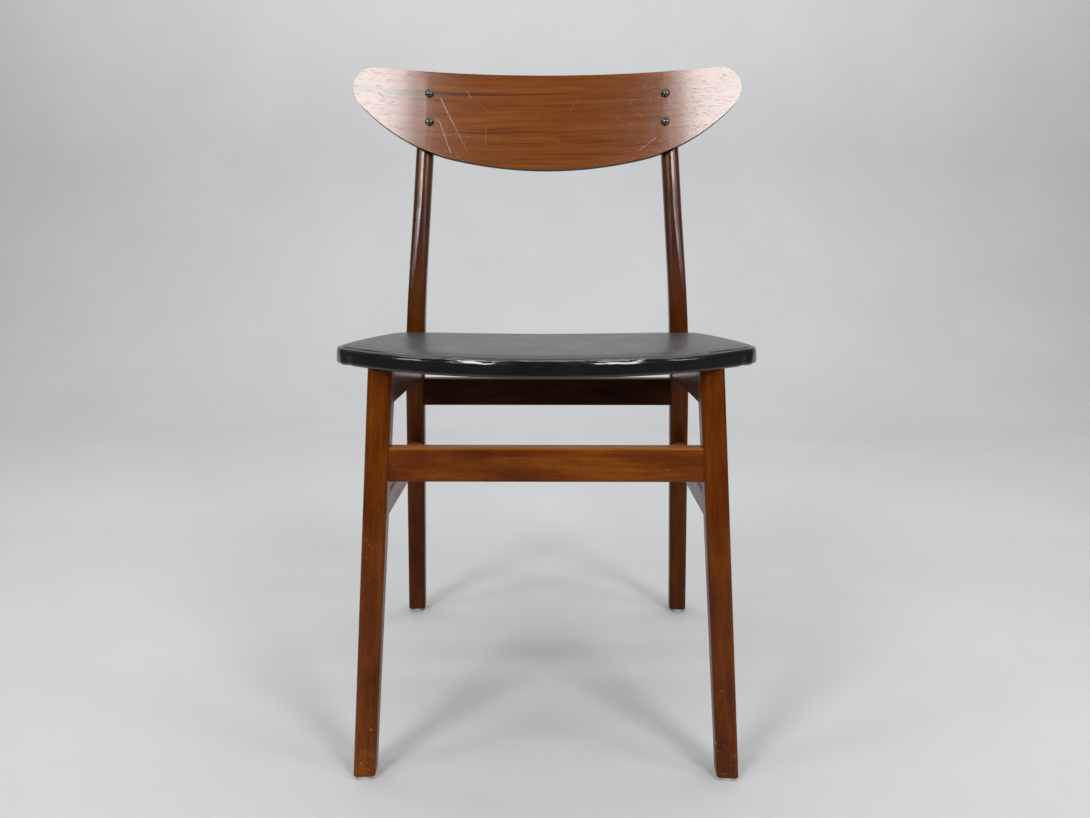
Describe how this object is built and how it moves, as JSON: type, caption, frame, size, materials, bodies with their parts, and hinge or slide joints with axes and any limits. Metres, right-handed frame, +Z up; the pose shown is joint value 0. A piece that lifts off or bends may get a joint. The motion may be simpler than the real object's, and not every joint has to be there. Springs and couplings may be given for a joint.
{
  "type": "dining chair",
  "caption": "Dining chair with splayed rounded-square legs, stretchers, a thin dished seat pad held clear of the rear rail, and a curved half-moon backrest on leaning posts.",
  "frame": {"origin": "middle of the bounding box, at the floor", "axes": "+X to the right as seen from the front, +Y from the seat's front edge to the back, +Z up"},
  "size_m": [0.51, 0.47, 0.7819],
  "materials": {
    "stained_wood": "stained and lacquered, satin, scuffed",
    "shaded_wood": "stained and lacquered, satin",
    "veneer": "teak-like veneer with horizontal grain, glossy lacquer",
    "dowel_wood": "bare, plain",
    "board_wood": "bare plywood",
    "foam": "open-cell foam, matt",
    "leatherette": "smooth coated cloth, glossy",
    "screw_steel": "zinc plated",
    "cap_metal": "dark, polished dome",
    "nylon": "white, satin"
  },
  "bodies": {
    "root": {"front_leg_left": "stained_wood", "front_leg_right": "stained_wood", "rear_leg_left": "stained_wood", "rear_leg_right": "stained_wood", "side_stretcher_left": "stained_wood", "side_stretcher_right": "stained_wood", "front_stretcher": "stained_wood", "side_rail_left": "shaded_wood", "side_rail_right": "shaded_wood", "rear_rail": "shaded_wood", "side_rail_dowels": "dowel_wood", "side_stretcher_dowels": "dowel_wood", "front_stretcher_dowels": "dowel_wood", "rear_rail_dowels": "dowel_wood", "seat_board": "board_wood", "seat_foam": "foam", "seat_cover": "leatherette", "cover_staples": "screw_steel", "seat_screws": "screw_steel", "backrest_screws": "screw_steel", "glide_nails": "screw_steel", "backrest": "veneer", "screw_caps": "cap_metal", "glide_front_left": "nylon", "glide_front_right": "nylon", "glide_rear_left": "nylon", "glide_rear_right": "nylon"}
  },
  "joints": []
}
